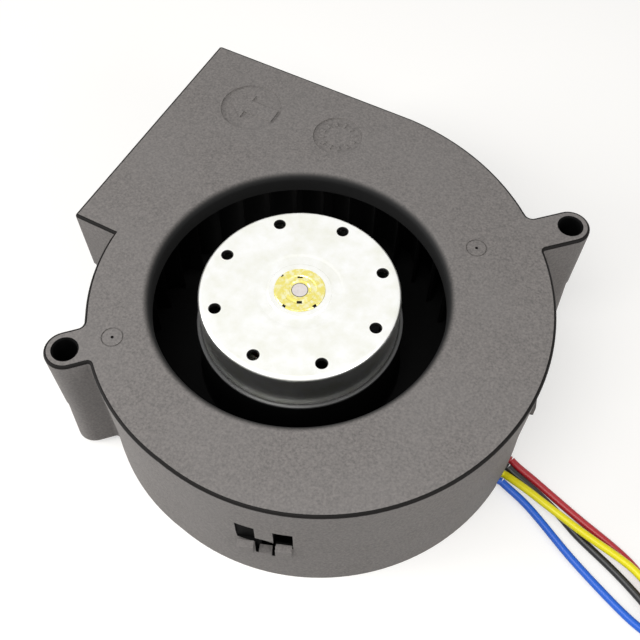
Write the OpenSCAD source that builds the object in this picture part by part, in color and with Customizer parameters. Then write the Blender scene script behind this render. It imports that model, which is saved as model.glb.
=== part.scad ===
// Centrifugal DC blower: a scroll housing in two snapped halves round an external-rotor motor.
// The rotor turns about Z, the housing stands on z = 0, the outlet faces -X, and the leads
// leave the foot of the wall on the +X side. All lengths are millimetres.

/* [Housing] */
// Height of the closed housing
body_h = 33; // [32:0.5:38]
// Distance from the rotor axis to the outlet mouth
outlet_x = 48.7; // [46:0.1:56]
// Outer radius of the scroll where it starts, at the tongue
tongue_r = 39.5; // [39:0.1:42]
// Outer radius of the scroll where it ends, in the straight side wall
scroll_end_r = 51; // [49:0.1:55]
// How far the scroll swells past an even spiral, opposite the outlet
belly = 1.8; // [0:0.1:2]
// How far the tongue side of the outlet duct lies past the rotor axis
duct_side_y = 5.6; // [4.6:0.1:8]
// Thickness of the side walls
wall_t = 1.6; // [1.3:0.1:2]
// Thickness of the top cover
lid_t = 2; // [1.6:0.1:2.6]
// Thickness of the floor
floor_t = 2; // [1.6:0.1:2.4]
// Height of the parting line between the two halves
split_z = 16.5; // [14:0.5:20]
// How far the lower half is set in from the upper one
step_in = 0.25; // [0.1:0.05:0.4]
// Height of the inner lap that lines the halves up
lap_h = 1.2; // [0.8:0.1:2]
// Thickness of that lap
lap_t = 0.7; // [0.5:0.05:0.9]
// Gap round the lap
lap_gap = 0.1; // [0.05:0.05:0.2]
// Radius of the rounded nose on the tongue
tongue_nose_r = 2.5; // [2:0.1:3]

/* [Inlet] */
// Radius of the round air inlet
inlet_r = 28.6; // [27:0.1:29]
// Radius of the inlet's rounded edge
lip_r = 1.6; // [0.8:0.1:1.9]
// Depth of the collar that hangs from the cover round the inlet
collar_h = 4.5; // [3.5:0.1:6]
// Thickness of that collar
collar_t = 1.6; // [1:0.1:1.8]

/* [Mounting ears] */
// Distance from the rotor axis to the hole of the long ear
ear_long_r = 56.4; // [55:0.1:60]
// Direction of the long ear
ear_long_a = 44.2; // [40:0.1:50]
// Distance from the rotor axis to the hole of the short ear
ear_short_r = 45; // [44.5:0.1:50]
// Direction of the short ear
ear_short_a = -134.5; // [-140:0.5:-130]
// Radius of the round end of an ear
ear_r = 4; // [3.6:0.1:5]
// Diameter of the screw hole through an ear
ear_hole_d = 4.6; // [3.4:0.1:5]
// Radius of the fillet between an ear and the wall
ear_fillet_r = 1.4; // [0.8:0.1:2.4]
// Height of the ears' lower end above the standing face
ear_foot_z = 2; // [1:0.1:4]

/* [Latches] */
// Direction of the front latch
latch_front_a = -70; // [-80:1:-60]
// Direction of the side latch, near the leads
latch_side_a = 15; // [13:1:22]
// Distance of the back latch from the rotor axis, along the straight wall
latch_back_x = 24; // [16:1:32]
// Width of the latch window
latch_w = 10; // [9:0.5:12]
// Height of the latch window
latch_h = 3.6; // [3:0.1:5]
// Width of the snap tab in its middle
tab_w = 3.6; // [3:0.1:4.4]
// How far the latch stands out of the wall
latch_out = 0.9; // [0.5:0.1:1.5]

/* [Cover marks] */
// Depth of the moulded marks in the cover
mark_d = 0.25; // [0.1:0.05:0.4]
// Radius of the ring round the airflow arrow
arrow_ring_r = 6.8; // [6:0.1:7.5]
// Radius of the blank mould dial
dial_r = 5.4; // [4.5:0.1:6]
// Radius of the ejector marks
ejector_r = 2.1; // [1.5:0.1:3]
// Distance of the ejector marks from the rotor axis
ejector_pos_r = 36.2; // [34:0.1:37]
// Width of a moulded line
line_w = 0.35; // [0.2:0.05:0.5]

/* [Impeller] */
// Gap between the impeller and the tongue
cutoff_gap = 1.4; // [1:0.1:2]
// Gap between the inlet collar and the blades
collar_gap = 0.6; // [0.4:0.1:1]
// Gap between the impeller's rim ring and the cover
rim_gap = 1.2; // [0.8:0.1:2]
// Height of the back plate above the floor
plate_gap = 5; // [4:0.1:5.5]
// Thickness of the back plate
plate_t = 1.4; // [1:0.1:2]
// Number of blades
blade_n = 33; // [25:1:39]
// Thickness of a blade
blade_t = 0.8; // [0.6:0.05:1]
// How far a blade's tip leans forward of its root
blade_lean_a = 9; // [4:0.5:12]
// Height of the ring that joins the blade tips
rim_h = 2; // [1.4:0.1:3]
// Radial thickness of that ring
rim_t = 1.3; // [1:0.1:2]
// Thickness of the hub sleeve round the steel cup
hub_t = 1; // [0.8:0.05:1.4]
// How far the hub sleeve stops below the face of the cup
hub_drop = 9; // [6:0.5:12]

/* [Rotor] */
// Outer radius of the steel cup
cup_r = 19.6; // [19:0.1:20.4]
// Thickness of the cup's sheet
cup_t = 1; // [0.8:0.05:1.2]
// How far the cup's face lies below the cover
cup_drop = 0.4; // [0.2:0.1:1]
// Height of the cup's rim above the circuit board
cup_rim_gap = 2; // [1.6:0.1:3]
// Radius of the circle of the balance holes
vent_pos_r = 16.6; // [15:0.1:17]
// Diameter of a balance hole
vent_d = 2.2; // [1.5:0.1:2.6]
// Number of balance holes
vent_n = 8; // [6:1:12]
// Direction of the first balance hole
vent_a = 42.6; // [0:0.1:45]
// Thickness of the ring magnet
magnet_t = 2.25; // [1.5:0.05:2.6]
// Height of the ring magnet
magnet_h = 14; // [12:0.5:16]
// Running gap between the magnet and the stator
air_gap = 0.4; // [0.3:0.05:0.6]
// Radius of the brass boss
boss_r = 4.9; // [4.6:0.1:5.4]
// Height of the boss's flange over the cup's face
boss_flange_t = 0.4; // [0.3:0.1:0.6]
// Depth of the boss below the cup's sheet
boss_depth = 1.8; // [1.4:0.1:2.4]

/* [Shaft and bearings] */
// Diameter of the shaft
shaft_d = 3; // [2.8:0.1:3.1]
// Outer diameter of a ball bearing
bearing_od = 8; // [8:0.1:8.6]
// Width of a ball bearing
bearing_w = 4; // [3.5:0.1:4.2]
// Diameter of a bearing's balls
ball_d = 1.1; // [0.9:0.05:1.2]
// Number of balls in a bearing
ball_n = 7; // [6:1:8]
// Wall of the bearing tube
tube_t = 1; // [0.8:0.05:1.3]
// Room under the lower bearing
end_room = 1.6; // [1.4:0.1:2]
// Height of the preload spring
spring_h = 2.6; // [2.2:0.1:3]
// Diameter of the spring's wire
spring_wire_d = 0.4; // [0.3:0.05:0.45]
// Thickness of the retaining clip
clip_t = 0.4; // [0.3:0.05:0.5]

/* [Stator] */
// Height of the lamination stack
core_h = 11; // [9:0.5:12]
// Width of a tooth's neck
neck_w = 4.4; // [3.6:0.1:5]
// Thickness of an insulator
insulator_t = 0.8; // [0.6:0.05:1]
// Thickness of the copper round a tooth
winding_t = 2; // [1.4:0.1:2.2]
// Height of the insulator's foot over the circuit board
foot_h = 3; // [3:0.1:4]

/* [Circuit board] */
// Thickness of the circuit board
board_t = 1.6; // [1.2:0.1:1.8]
// Radius of the circuit board
board_r = 17.8; // [17.2:0.1:18]
// Height of the board's underside above the floor
board_gap = 4; // [3.8:0.1:5]

/* [Underside] */
// Radius of the blank label
label_r = 16.5; // [16:0.1:17]
// Thickness of the label
label_t = 0.3; // [0.2:0.05:0.4]
// Thickness of the tabs that hold the leads in their channel
tab_t = 0.45; // [0.4:0.05:0.6]

/* [Leads] */
// Diameter of a lead
lead_d = 1.6; // [1.4:0.05:1.7]
// Length of the connector's housing
connector_l = 14; // [11:0.5:15]
// Height of the connector's housing
connector_h = 5.8; // [5.4:0.1:6.4]
// Spacing of the connector's contacts
contact_pitch = 2.54; // [2.5:0.01:2.6]

/* [Hidden] */
$fn = 96;

// How far a cutting shape runs past the face that it cuts
over = 1;
// Clearance of two pieces that are pressed or glued together
fit = 0.01;
// Clearance of two pieces that are laid together
slip = 0.05;

// ---- Heights, from the floor up ----
board_z = floor_t + board_gap;
board_top = board_z + board_t;
core_z = board_top + foot_h + insulator_t;
core_top = core_z + core_h;
cup_z = board_top + cup_rim_gap;
magnet_z = core_z + core_h / 2 - magnet_h / 2;
cup_top = body_h - cup_drop;
cup_ceiling = cup_top - cup_t;
boss_under = cup_ceiling - boss_depth;
upper_bearing_z = boss_under - spring_h - bearing_w;
lower_bearing_z = floor_t + end_room;
tube_top = upper_bearing_z + bearing_w;
plate_z = floor_t + plate_gap;
lid_z = body_h - lid_t;
blade_top = lid_z - rim_gap;

// ---- Radii ----
impeller_r = tongue_r - wall_t - cutoff_gap;
blade_in_r = inlet_r + collar_t + collar_gap;
hub_r = cup_r + fit + hub_t;
magnet_r = cup_r - cup_t - slip;
stator_r = magnet_r - magnet_t - air_gap;
shaft_r = shaft_d / 2;
bearing_r = bearing_od / 2;
tube_r = bearing_r + tube_t;
ball_pos_r = (shaft_r + bearing_r) / 2;
race_gap = 0.4;
groove_slack = 0.05;
neck_in = 1;
boss_neck_r = boss_r - neck_in;
emboss_w = 1.3;
emboss_h = 0.2;
yoke_t = 2.4;
yoke_r = tube_r + yoke_t;
shoe_t = 2.6;
shoe_in_r = stator_r - shoe_t;
shoe_half_a = 38;
clip_groove_depth = 0.22;

// ---- Scroll ----
tongue_a = -180 + asin(duct_side_y / tongue_r);
scroll_steps = 66;
function polar(r, a) = r * [cos(a), sin(a)];
belly_from = -95;
belly_span = 140;
function swell(a) = belly * sin(180 * min(max((a - belly_from) / belly_span, 0), 1));
function scroll_r(a) = tongue_r + (scroll_end_r - tongue_r) * (a - tongue_a) / (90 - tongue_a) + swell(a);
function scroll_pts(inset) = [for (i = [0:scroll_steps])
    let (a = tongue_a + (90 - tongue_a) * i / scroll_steps) polar(scroll_r(a) - inset, a)];

// ---- Leads ----
lead_r = lead_d / 2;
lead_pitch = lead_d + 0.2;
lead_y0 = 2;
lead_z = tab_t + slip + lead_r;
channel_side = 0.4;
channel_w = 3 * lead_pitch + lead_d + channel_side;
channel_y = lead_y0 - 1.5 * lead_pitch;
channel_h = lead_z + lead_r + channel_side / 2;
channel_roof_t = 1.2;
lead_turn_x = 15.5;
exit_x = 48.7;
lead_colours = ["crimson", "black", "gold", "royalblue"];
// Every free lead starts at the wall, lies on the standing surface and runs to the coil
red_route = [[exit_x, 2, 1.3], [50, 1.4, 1.1], [54, 0.4, 0.9], [58, -0.9, 0.8], [62, -2.2, 0.8],
    [66, -3.5, 0.8], [70, -4.6, 0.8], [74, -5.8, 0.8], [78, -7.3, 0.8], [82, -9.9, 0.8],
    [87, -14, 1.1], [92.4, -17.8, 1.6], [98.3, -21, 1.6], [104.2, -22.6, 1.6], [110, -23.1, 1.6]];
black_route = [[exit_x, 0.2, 1.3], [50, -0.3, 1.1], [54, -1.4, 0.9], [58, -2.8, 0.8],
    [62, -4.5, 0.8], [66, -6.7, 0.8], [70, -8.2, 0.8], [74, -9.7, 0.8], [78, -11.4, 0.8],
    [82, -13.5, 1], [87, -16.7, 2], [91.6, -19.4, 3.3], [97.7, -22.6, 3.4], [103.8, -24.4, 3.4],
    [110, -24.9, 3.4]];
yellow_route = [[exit_x, -1.6, 1.3], [50, -2, 1.7], [54, -3, 2.2], [58, -4.2, 2.5],
    [62, -5.2, 2.5], [66, -6.2, 2.5], [70, -7, 2.5], [74, -7.7, 2.5], [78, -8.6, 2.5],
    [82, -10.7, 2.6], [87, -14.2, 3], [92.4, -17.8, 3.4], [98.3, -21, 3.4], [104.2, -22.6, 3.4],
    [110, -23.1, 3.4]];
blue_route = [[exit_x, -3.4, 1.3], [50, -3.8, 1.1], [54, -5, 0.9], [58, -6.9, 0.8],
    [62, -9.1, 0.8], [66, -11.3, 0.8], [70, -13.2, 0.8], [74, -15, 0.8], [78, -16.7, 0.8],
    [82, -18.2, 0.8], [87, -19.3, 0.9], [91.6, -20, 1.4], [97.7, -22.6, 1.6],
    [103.8, -24.4, 1.6], [110, -24.9, 1.6]];
// The leads' spare length is wound into one tied coil beside the part
coil_x = 110;
coil_y = -40;
coil_in_r = 10;
coil_out_r = 18;
coil_lane = 4;
coil_layer_h = 3.9;
tie_w = 3;
tie_t = 0.5;
tie_slack = 0.2;
coil_z = tie_t + tie_slack;
coil_top_in_r = coil_in_r + coil_lane / 2;
coil_top_out_r = coil_out_r - coil_lane / 2;
// The end of the coil fans out to the connector: x and z of the bundle, and how far it is fanned
tail_route = [[100, 6.5, 0], [97, 6.4, 0.05], [94, 5.4, 0.3], [91, 3.9, 0.7], [88.5, 3.1, 1]];
bundle_half = 0.9;
bundle_corners = [[-1, 1], [-1, -1], [1, -1], [1, 1]];
tail_order = [0, 3, 1, 2];
connector_x = 86;
connector_y = coil_y - (coil_in_r + coil_out_r) / 2;
connector_w = 4 * contact_pitch + 2;
contact_z = connector_h / 2;

// Round bar swept along a list of points, with one ring of corners at each point
function dir(p, i) = let (a = p[max(i - 1, 0)], b = p[min(i + 1, len(p) - 1)]) (b - a) / norm(b - a);
function side_of(d) = let (s = cross(d, [0, 0, 1])) s / norm(s);
function ring_at(p, i, r, sides) = let (d = dir(p, i), s = side_of(d), u = cross(s, d))
    [for (k = [0:sides - 1]) p[i] + r * (cos(360 * k / sides) * s + sin(360 * k / sides) * u)];

module swept_bar(p, r, sides) {
    n = len(p);
    corners = [for (i = [0:n - 1]) each ring_at(p, i, r, sides)];
    skin = [for (i = [0:n - 2], k = [0:sides - 1]) let (m = (k + 1) % sides)
        [i * sides + k, i * sides + m, (i + 1) * sides + m, (i + 1) * sides + k]];
    start = [[for (k = [sides - 1:-1:0]) k]];
    end = [[for (k = [0:sides - 1]) (n - 1) * sides + k]];
    polyhedron(corners, concat(skin, start, end));
}

module ring(r_in, r_out, h) {
    difference() {
        cylinder(r = r_out, h = h);
        translate([0, 0, -over]) cylinder(r = r_in, h = h + 2 * over);
    }
}

// ---- Housing outlines ----
module housing_2d(inset) {
    polygon(concat(scroll_pts(inset), [[-outlet_x + inset, scroll_end_r - inset],
        [-outlet_x + inset, -duct_side_y + inset]]));
}

module cavity_2d(inset, past) {
    nose_y = duct_side_y - inset;
    polygon(concat(scroll_pts(inset), [[-outlet_x - past, scroll_end_r - inset],
        [-outlet_x - past, -nose_y],
        [-sqrt(pow(tongue_r - inset, 2) - nose_y * nose_y), -nose_y]]));
}

module tongue_nose_2d() {
    nose_y = -duct_side_y + tongue_nose_r;
    nose_pos_r = tongue_r - wall_t + tongue_nose_r;
    translate([-sqrt(nose_pos_r * nose_pos_r - nose_y * nose_y), nose_y]) circle(tongue_nose_r);
}

module wall_2d(inset) {
    difference() {
        housing_2d(inset);
        cavity_2d(wall_t, over);
    }
    intersection() {
        housing_2d(inset);
        tongue_nose_2d();
    }
}

// An ear: a round end on a straight lug that flares into the wall with two fillets
function lug_half(a, r, w) = let (x = scroll_r(a), f = ear_fillet_r, steps = 6)
    concat([[x - wall_t * 0.6, w + f]],
        [for (i = [0:steps]) let (t = 90 * i / steps) [x + f - f * cos(t), w + f - f * sin(t)]],
        [[r, w]]);

module ear_2d(r, a, inset) {
    upper = lug_half(a, r, ear_r - inset);
    lower = [for (i = [len(upper) - 1:-1:0]) [upper[i].x, -upper[i].y]];
    rotate(a) {
        translate([r, 0]) circle(ear_r - inset);
        polygon(concat(upper, lower));
    }
}

module ears(z0, z1, inset) {
    for (e = [[ear_long_r, ear_long_a], [ear_short_r, ear_short_a]])
        translate([0, 0, z0]) linear_extrude(z1 - z0) ear_2d(e[0], e[1], inset);
}

module ear_holes() {
    for (e = [[ear_long_r, ear_long_a], [ear_short_r, ear_short_a]])
        rotate(e[1]) translate([e[0], 0, -over]) cylinder(d = ear_hole_d, h = body_h + 2 * over);
}

// ---- Latches: placed with x out of the wall and z up from the parting line ----
module at_latches() {
    for (a = [latch_front_a, latch_side_a])
        rotate(a) translate([scroll_r(a), 0, split_z]) children();
    translate([-latch_back_x, scroll_end_r, split_z]) rotate(90) children();
}

tab_drop = 0.8;
tab_sink = 0.6;
latch_gap = 0.35;
cheek_rise = 1.4;
cheek_drop = 3;
cheek_w = (latch_w - tab_w) / 2 - 2 * latch_gap;

module latch_window() {
    translate([-wall_t - over, -latch_w / 2, -over])
        cube([wall_t + latch_out + 2 * over, latch_w, latch_h + over]);
}

module latch_tab() {
    translate([-tab_sink, -tab_w / 2, -tab_drop])
        cube([tab_sink + latch_out, tab_w, tab_drop + latch_h + over]);
}

module latch_tab_room() {
    translate([-tab_sink - latch_gap, -tab_w / 2 - latch_gap, -tab_drop - latch_gap])
        cube([tab_sink + latch_gap + over, tab_w + 2 * latch_gap, tab_drop + latch_gap + over]);
}

module latch_cheeks() {
    for (s = [-1, 1])
        translate([-wall_t * 0.75, s * (latch_w / 2 - latch_gap - cheek_w / 2) - cheek_w / 2,
            -cheek_drop])
            cube([wall_t * 0.75 + latch_out, cheek_w, cheek_drop + cheek_rise]);
}

module latch_catch() {
    translate([-wall_t / 2, -tab_w / 2, -cheek_drop])
        cube([wall_t / 2 + latch_out * 0.6, tab_w, cheek_drop - tab_drop - 2 * latch_gap]);
}

// ---- Marks moulded into the cover ----
arrow_x = -32.5;
arrow_y = 37.4;
arrow_tip = 5.4;
arrow_tail = 5.8;
arrow_neck = 0.8;
arrow_half = 3.6;
arrow_stem = 1.75;
dial_x = -12;
dial_y = 38.9;
dial_ticks = 12;
lip_line_from = 4.4;
lip_line_to = 49.9;

module arrow_2d() {
    polygon([[-arrow_tip, 0], [-arrow_neck, -arrow_half], [-arrow_neck, -arrow_stem],
        [arrow_tail, -arrow_stem], [arrow_tail, arrow_stem], [-arrow_neck, arrow_stem],
        [-arrow_neck, arrow_half]]);
}

module cover_marks() {
    translate([arrow_x, arrow_y, 0]) {
        linear_extrude(over + mark_d) difference() {
            circle(arrow_ring_r);
            arrow_2d();
        }
    }
    translate([dial_x, dial_y, 0]) {
        linear_extrude(over + mark_d) difference() {
            circle(dial_r);
            for (i = [0:dial_ticks - 1])
                rotate(i * 360 / dial_ticks) translate([dial_r * 0.6, -line_w]) square([dial_r * 0.2, 2 * line_w]);
        }
    }
    for (a = [ear_long_a, ear_short_a])
        rotate(a) translate([ejector_pos_r, 0, 0]) {
            ring(ejector_r - line_w, ejector_r, over + mark_d);
            cylinder(d = line_w * 2, h = over + mark_d);
        }
    translate([-outlet_x + line_w * 2, lip_line_from, 0])
        cube([line_w, lip_line_to - lip_line_from, over + mark_d]);
}

module inlet_cut() {
    cylinder(r = inlet_r, h = body_h + over);
    rotate_extrude() difference() {
        translate([inlet_r - over, body_h - lip_r]) square([lip_r + over, lip_r + over]);
        translate([inlet_r + lip_r, body_h - lip_r]) circle(lip_r);
    }
}

module upper_housing() {
    color([0.28, 0.275, 0.27]) difference() {
        union() {
            difference() {
                union() {
                    translate([0, 0, split_z]) linear_extrude(body_h - split_z) wall_2d(0);
                    translate([0, 0, lid_z]) linear_extrude(lid_t) housing_2d(0);
                    ears(split_z, body_h, 0);
                }
                translate([0, 0, split_z - over]) linear_extrude(over + lap_h + lap_gap)
                    cavity_2d(wall_t - lap_t - lap_gap, over);
                at_latches() latch_window();
            }
            translate([0, 0, body_h - collar_h])
                ring(inlet_r, inlet_r + collar_t, collar_h - lid_t / 2);
            at_latches() latch_tab();
        }
        inlet_cut();
        ear_holes();
        translate([0, 0, body_h - mark_d]) cover_marks();
    }
}

// ---- Lower half: floor, motor seat, lead channel ----
guard_r = cup_r - 0.2;
guard_t = 1;
guard_h = 3;
seat_wall = 1.6;
channel_end_x = lead_turn_x - lead_r - channel_side;
channel_wall = 1.2;
lead_tab_w = 2.4;
lead_tab_sink = 0.5;
lead_tab_pos = [24, 38];

module lead_channel_cut() {
    translate([channel_end_x, channel_y - channel_w / 2, -over]) {
        cube([outlet_x, channel_w, channel_h + over]);
        cube([lead_d + 2 * channel_side, channel_w, floor_t + channel_roof_t + 3 * over]);
    }
}

module lead_channel_roof() {
    intersection() {
        translate([channel_end_x - channel_wall, channel_y - channel_w / 2 - channel_wall, floor_t / 2])
            cube([outlet_x, channel_w + 2 * channel_wall, channel_h + channel_roof_t - floor_t / 2]);
        linear_extrude(body_h) cavity_2d(wall_t / 2, 0);
    }
}

module lead_tabs() {
    for (x = lead_tab_pos)
        translate([x, channel_y - channel_w / 2 - lead_tab_sink, 0])
            cube([lead_tab_w, channel_w + 2 * lead_tab_sink, tab_t]);
}

module lower_housing() {
    color([0.25, 0.245, 0.24]) difference() {
        union() {
            difference() {
                union() {
                    linear_extrude(floor_t) housing_2d(step_in);
                    linear_extrude(split_z) wall_2d(step_in);
                    ears(ear_foot_z, split_z, step_in);
                    translate([0, 0, split_z - over / 2]) linear_extrude(over / 2 + lap_h)
                        difference() {
                            cavity_2d(wall_t - lap_t, -step_in);
                            cavity_2d(wall_t, over);
                            tongue_nose_2d();
                        }
                    cylinder(r = tube_r + seat_wall, h = board_z);
                    translate([0, 0, floor_t / 2])
                        ring(guard_r - guard_t, guard_r, guard_h + floor_t / 2);
                    lead_channel_roof();
                }
                at_latches() latch_tab_room();
                lead_channel_cut();
                translate([0, 0, floor_t]) cylinder(r = tube_r + fit, h = board_z);
            }
            at_latches() {
                latch_cheeks();
                latch_catch();
            }
            lead_tabs();
        }
        translate([0, 0, -over]) cylinder(r = label_r + slip, h = label_t + over);
        ear_holes();
    }
}

module rear_label() {
    color([0.82, 0.82, 0.8]) cylinder(r = label_r, h = label_t);
}

// ---- Impeller ----
blade_tip_in = 0.3;
blade_top_in = 0.4;
blade_steps = 6;

function blade_side(s) = [for (i = [0:blade_steps])
    let (f = i / blade_steps, r = blade_in_r + (impeller_r - blade_tip_in - blade_in_r) * f)
        polar(r, blade_lean_a * f * f + s * blade_t * 90 / (PI * r))];

module impeller() {
    outer = blade_side(1);
    inner = blade_side(-1);
    color([0.05, 0.05, 0.055]) {
        translate([0, 0, plate_z]) ring(cup_r + fit, hub_r, cup_top - hub_drop - plate_z);
        translate([0, 0, plate_z]) ring(cup_r + fit, impeller_r, plate_t);
        translate([0, 0, blade_top - rim_h]) ring(impeller_r - rim_t, impeller_r, rim_h);
        for (i = [0:blade_n - 1])
            rotate(i * 360 / blade_n) translate([0, 0, plate_z + plate_t / 2])
                linear_extrude(blade_top - plate_z - plate_t / 2 - blade_top_in)
                    polygon(concat(outer, [for (k = [len(inner) - 1:-1:0]) inner[k]]));
    }
}

// ---- Rotor ----
module rotor_cup() {
    color([0.78, 0.79, 0.8]) difference() {
        union() {
            rotate_extrude() {
                translate([0, cup_ceiling]) square([cup_r - cup_t, cup_t]);
                translate([cup_r - cup_t, cup_top - cup_t]) circle(cup_t);
                translate([cup_r - cup_t, cup_z]) square([cup_t, cup_top - cup_t - cup_z]);
            }
            translate([0, 0, cup_ceiling]) cylinder(r = boss_r + emboss_w, h = cup_t + emboss_h);
        }
        translate([0, 0, cup_ceiling - over]) cylinder(r = boss_neck_r + fit, h = cup_t + 3 * over);
        translate([0, 0, cup_top]) cylinder(r = boss_r + fit, h = over);
        for (i = [0:vent_n - 1])
            rotate(vent_a + i * 360 / vent_n) translate([vent_pos_r, 0, cup_ceiling - over])
                cylinder(d = vent_d, h = cup_t + 2 * over);
    }
}

module rotor_magnet() {
    color([0.2, 0.2, 0.21]) translate([0, 0, magnet_z]) ring(magnet_r - magnet_t, magnet_r, magnet_h);
}

module rotor_boss() {
    color([0.85, 0.78, 0.42]) difference() {
        union() {
            translate([0, 0, cup_top]) cylinder(r = boss_r, h = boss_flange_t);
            translate([0, 0, boss_under]) cylinder(r = boss_neck_r, h = cup_top - boss_under);
        }
        translate([0, 0, boss_under - over]) cylinder(r = shaft_r + fit, h = body_h);
    }
}

clip_w = 0.75;
clip_mouth = 1.8;
clip_past = 0.6;
clip_z = lower_bearing_z - clip_t - slip;
shaft_end_z = clip_z - clip_past;

module shaft() {
    color([0.7, 0.71, 0.72]) difference() {
        translate([0, 0, shaft_end_z]) cylinder(r = shaft_r, h = cup_top + boss_flange_t / 2 - shaft_end_z);
        translate([0, 0, clip_z - slip / 2])
            ring(shaft_r - clip_groove_depth, shaft_r + over, clip_t + slip);
    }
}

module retaining_clip() {
    color([0.35, 0.36, 0.38]) translate([0, 0, clip_z]) difference() {
        ring(shaft_r - clip_groove_depth + fit, shaft_r + clip_w, clip_t);
        translate([0, -clip_mouth / 2, -over]) cube([shaft_d, clip_mouth, clip_t + 2 * over]);
    }
}

spring_turns = 3;
spring_steps = 16;
spring_side = 0.15;
spring_r = shaft_r + spring_side + spring_wire_d / 2;

module preload_spring() {
    rise = spring_h - spring_wire_d - 2 * slip;
    last = spring_turns * spring_steps;
    color([0.6, 0.61, 0.63]) swept_bar([for (i = [0:last]) concat(polar(spring_r, i * 360 / spring_steps),
        tube_top + slip + spring_wire_d / 2 + rise * i / last)], spring_wire_d / 2, 8);
}

// ---- Bearings ----
module bearing_tube() {
    color([0.8, 0.7, 0.4]) difference() {
        translate([0, 0, floor_t]) cylinder(r = tube_r, h = tube_top - floor_t);
        translate([0, 0, floor_t - over]) cylinder(r = bearing_r, h = end_room + bearing_w + over);
        translate([0, 0, floor_t]) cylinder(r = bearing_r - tube_t * 0.6, h = tube_top);
        translate([0, 0, upper_bearing_z]) cylinder(r = bearing_r, h = tube_top);
    }
}

module race(z, r_in, r_out) {
    color([0.66, 0.67, 0.69]) translate([0, 0, z]) rotate_extrude() difference() {
        translate([r_in, 0]) square([r_out - r_in, bearing_w]);
        translate([ball_pos_r, bearing_w / 2]) circle(ball_d / 2 + groove_slack);
    }
}

module outer_race(z) { race(z, ball_pos_r + race_gap, bearing_r - fit); }
module inner_race(z) { race(z, shaft_r + fit, ball_pos_r - race_gap); }

module balls(z) {
    color([0.75, 0.76, 0.78]) for (i = [0:ball_n - 1])
        rotate(i * 360 / ball_n) translate([ball_pos_r, 0, z + bearing_w / 2]) sphere(d = ball_d);
}

// ---- Stator ----
module stator_2d(neck, shoe_depth) {
    difference() {
        union() {
            circle(yoke_r);
            for (i = [0:3]) rotate(i * 90) {
                translate([0, -neck / 2]) square([shoe_in_r + shoe_depth / 2, neck]);
                intersection() {
                    difference() {
                        circle(shoe_in_r + shoe_depth);
                        circle(shoe_in_r);
                    }
                    polygon([[0, 0], 2 * polar(stator_r, -shoe_half_a), 2 * polar(stator_r, shoe_half_a)]);
                }
            }
        }
        circle(tube_r + fit);
    }
}

module stator_core() {
    color([0.45, 0.46, 0.48]) translate([0, 0, core_z]) linear_extrude(core_h) stator_2d(neck_w, shoe_t);
}

insulator_side = 0.5;
insulator_rim = 0.8;

module insulator_plate() {
    linear_extrude(insulator_t) stator_2d(neck_w + 2 * insulator_side, insulator_rim);
}

module insulator_rims(h) {
    linear_extrude(h) difference() {
        stator_2d(neck_w, insulator_rim);
        circle(shoe_in_r);
    }
}

module upper_insulator() {
    color([0.9, 0.88, 0.82]) translate([0, 0, core_top]) {
        insulator_plate();
        insulator_rims(insulator_t + winding_t);
    }
}

module lower_insulator() {
    color([0.9, 0.88, 0.82]) {
        translate([0, 0, core_z - insulator_t]) insulator_plate();
        translate([0, 0, core_z - insulator_t - winding_t]) insulator_rims(insulator_t + winding_t);
        translate([0, 0, board_top]) ring(tube_r + fit, yoke_r, foot_h);
    }
}

module winding_2d(grow, round_r) {
    w = neck_w / 2 + insulator_side + slip + grow;
    h = core_h / 2 + insulator_t + slip + grow;
    square([2 * (w - round_r), 2 * h], center = true);
    square([2 * w, 2 * (h - round_r)], center = true);
    for (x = [-1, 1], y = [-1, 1]) translate([x * (w - round_r), y * (h - round_r)]) circle(round_r);
}

coil_half_w = neck_w / 2 + insulator_side + winding_t;
coil_end_x = sqrt(pow(shoe_in_r, 2) - pow(coil_half_w, 2)) - slip;

module stator_coil(i) {
    color([0.72, 0.4, 0.2]) rotate(i * 90) translate([yoke_r + slip, 0, core_z + core_h / 2])
        rotate([90, 0, 90]) linear_extrude(coil_end_x - yoke_r - slip) difference() {
            winding_2d(winding_t - 2 * slip, winding_t / 2);
            square([neck_w + 2 * insulator_side + 2 * slip, core_h + 2 * insulator_t + 2 * slip],
                center = true);
        }
}

// ---- Circuit board: the chips hang under it, the position sensor stands on it ----
chip_l = 5;
chip_w = 4;
chip_t = 1.5;
chip_pitch = 1.27;
chip_x = -11;
chip_y = 5;
pin_w = 0.4;
pin_l = 1;
pin_t = 0.6;
pin_sink = 0.1;

module circuit_board() {
    color([0.1, 0.35, 0.2]) translate([0, 0, board_z]) ring(tube_r + fit, board_r, board_t);
}

module driver_chip() {
    color([0.12, 0.12, 0.13]) translate([chip_x, chip_y, board_z]) {
        translate([-chip_l / 2, -chip_w / 2, -chip_t]) cube([chip_l, chip_w, chip_t]);
        for (i = [0:3], s = [-1, 1])
            translate([(i - 1.5) * chip_pitch - pin_w / 2,
                s * (chip_w / 2 + pin_l / 2 - pin_sink) - pin_l / 2, -pin_t])
                cube([pin_w, pin_l, pin_t]);
    }
}

// Power transistors: a flat body with a wide tab on one side and three pins on the other
power_l = 6.4;
power_w = 3.4;
power_t = 1.6;
power_tab_l = 3;
power_tab_w = 1.4;
power_pin_pitch = 2.3;
power_pos = [[-9, -7], [0, -12]];

module power_transistors() {
    color([0.13, 0.13, 0.14]) for (p = power_pos) translate([p.x, p.y, board_z]) {
        translate([-power_l / 2, -power_w / 2, -power_t]) cube([power_l, power_w, power_t]);
        translate([-power_tab_l / 2, -power_w / 2 - power_tab_w + pin_sink, -pin_t])
            cube([power_tab_l, power_tab_w, pin_t]);
        for (i = [-1:1]) translate([i * power_pin_pitch - pin_w, power_w / 2 - pin_sink, -pin_t])
            cube([2 * pin_w, power_tab_w, pin_t]);
    }
}

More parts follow.
